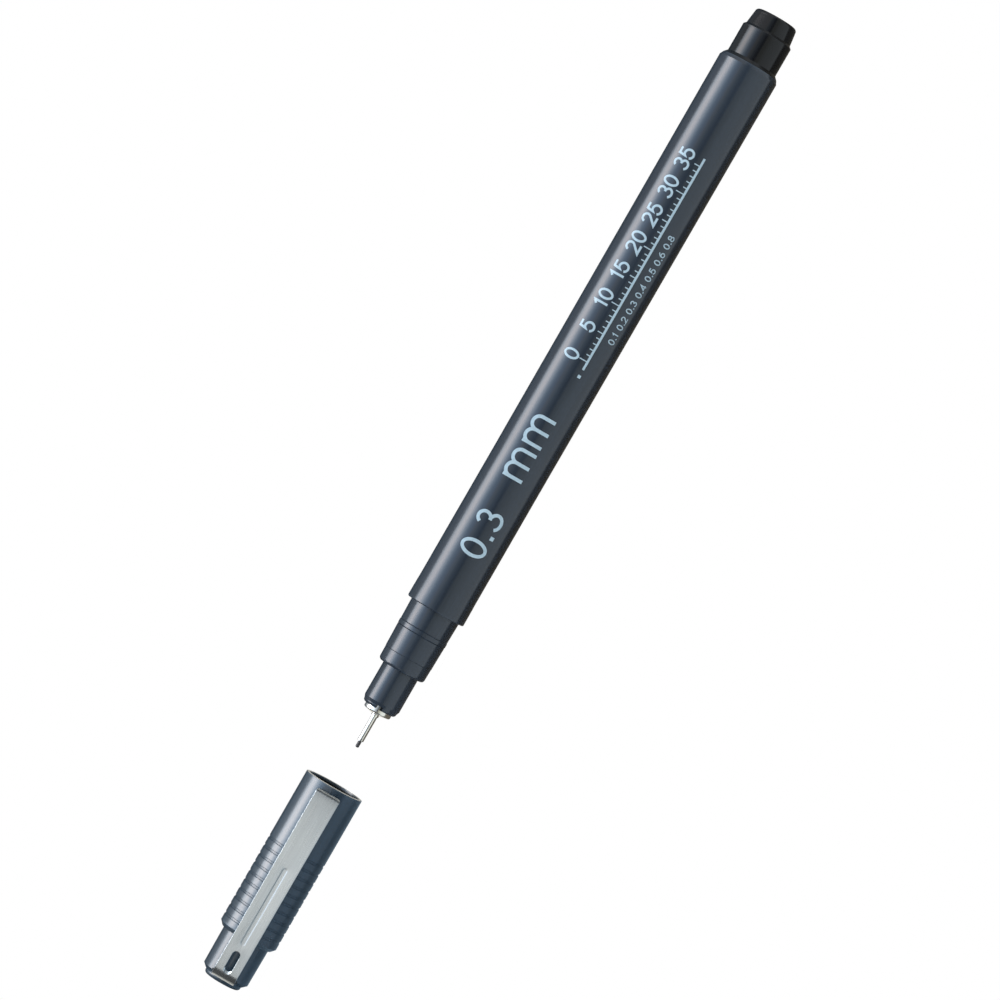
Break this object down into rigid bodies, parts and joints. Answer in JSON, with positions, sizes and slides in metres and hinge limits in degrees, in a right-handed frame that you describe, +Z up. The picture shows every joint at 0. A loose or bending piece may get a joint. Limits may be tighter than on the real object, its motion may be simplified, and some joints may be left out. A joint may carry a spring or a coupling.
{
  "type": "fineliner pen",
  "caption": "Capped fineliner pen, shown with its cap pulled off in line with the point: a long plastic barrel, a steel-sheathed nib and a grooved cap with a sprung steel clip",
  "frame": {"origin": "on the plane that the pen lies on, under the middle of the whole layout of pen and cap", "axes": "+X along the pen's axis, towards its tail (the nib and then the cap lie towards -X); -Y towards the clip's face; +Z up"},
  "size_m": [0.1738, 0.0114, 0.0101],
  "materials": {
    "slate_plastic": "moulded polypropylene, slate blue-grey, satin with a soft broad highlight",
    "point_steel": "turned stainless steel, polished, with fine turning marks",
    "nib_plastic": "dark ink-stained acetal",
    "ink_fibre": "bonded polyester fibre, soaked with ink",
    "clear_film": "thin clear film",
    "black_plastic": "moulded black plastic, glossy",
    "cap_plastic": "blue-grey plastic with a fine metallic flake, satin gloss",
    "liner_plastic": "dark polyethylene, matt",
    "clip_steel": "spring steel, satin, brushed lengthwise, with bright pressed edges"
  },
  "bodies": {
    "pen": {"barrel": "slate_plastic", "front_section": "slate_plastic", "tip_ferrule": "point_steel", "tip_tube": "point_steel", "nib": "nib_plastic", "relay_wick": "ink_fibre", "ink_reservoir": "ink_fibre", "reservoir_film": "clear_film", "tail_plug": "black_plastic"},
    "cap": {"cap_shell": "cap_plastic", "cap_liner": "liner_plastic", "cap_crown": "cap_plastic"},
    "clip": {"clip": "clip_steel"}
  },
  "joints": [
    {"name": "cap_slide", "type": "slide", "parent": "pen", "child": "cap", "axis": [1, 0, 0], "range_m": [0, 0.03152]},
    {"name": "clip_flex", "type": "hinge", "parent": "cap", "child": "clip", "pos_m": [-0.08589, -0.00213, 0.00507], "axis": [0, 0, -1], "range_deg": [0, 3], "stiffness_Nm_per_rad": 0.16, "springref_deg": -1.15}
  ]
}
